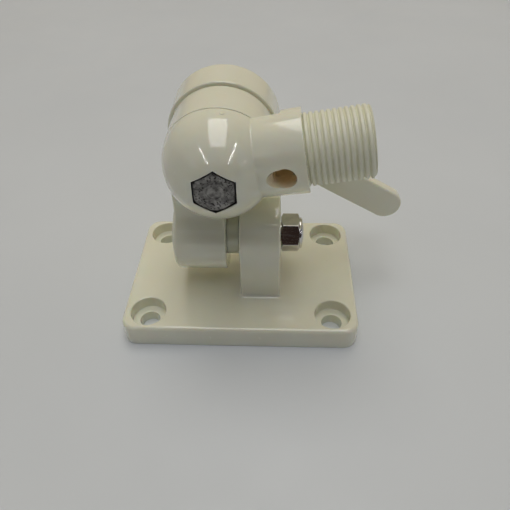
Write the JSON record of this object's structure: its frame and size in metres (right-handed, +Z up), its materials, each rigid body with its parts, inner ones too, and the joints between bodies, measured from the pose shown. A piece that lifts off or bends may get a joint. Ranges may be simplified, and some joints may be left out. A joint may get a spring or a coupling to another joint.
{
  "type": "swivel bracket",
  "caption": "Screw-down deck bracket with a tilting elbow and a swivelling ball head that carries a hollow threaded stud, clamped by a rear lever.",
  "frame": {"origin": "centre of the base plate's underside", "axes": "+Z up from the plate, +X the side the threaded stud points to, +Y the side of the clamp lever; the tilt axis lies along X and the swivel axis along Y"},
  "size_m": [0.1081, 0.063, 0.0867],
  "materials": {
    "ivory_nylon": "glossy ivory moulded nylon",
    "stainless_steel": "plain stainless steel, lightly worn",
    "insert_nylon": "matt natural nylon"
  },
  "bodies": {
    "base": {"base_bracket": "ivory_nylon"},
    "elbow": {"elbow_knuckle": "ivory_nylon", "tilt_ratchet_hub": "ivory_nylon", "tilt_bolt": "stainless_steel", "tilt_locknut": "stainless_steel", "tilt_locknut_insert": "insert_nylon"},
    "head": {"swivel_head": "ivory_nylon", "swivel_bolt": "stainless_steel", "release_spring": "stainless_steel"},
    "lever": {"lever_handle": "ivory_nylon", "lever_nut": "stainless_steel", "lever_washer": "stainless_steel"}
  },
  "joints": [
    {"name": "tilt", "type": "hinge", "parent": "base", "child": "elbow", "pos_m": [0, 0, 0.03], "axis": [1, 0, 0], "range_deg": [-60, 75]},
    {"name": "swivel", "type": "hinge", "parent": "elbow", "child": "head", "pos_m": [-0.0053, 0, 0.067], "axis": [0, -1, 0], "range_deg": [-30, 180]},
    {"name": "lever_turn", "type": "hinge", "parent": "elbow", "child": "lever", "pos_m": [-0.0053, 0, 0.067], "axis": [0, -1, 0], "range_deg": [0, 240]}
  ]
}
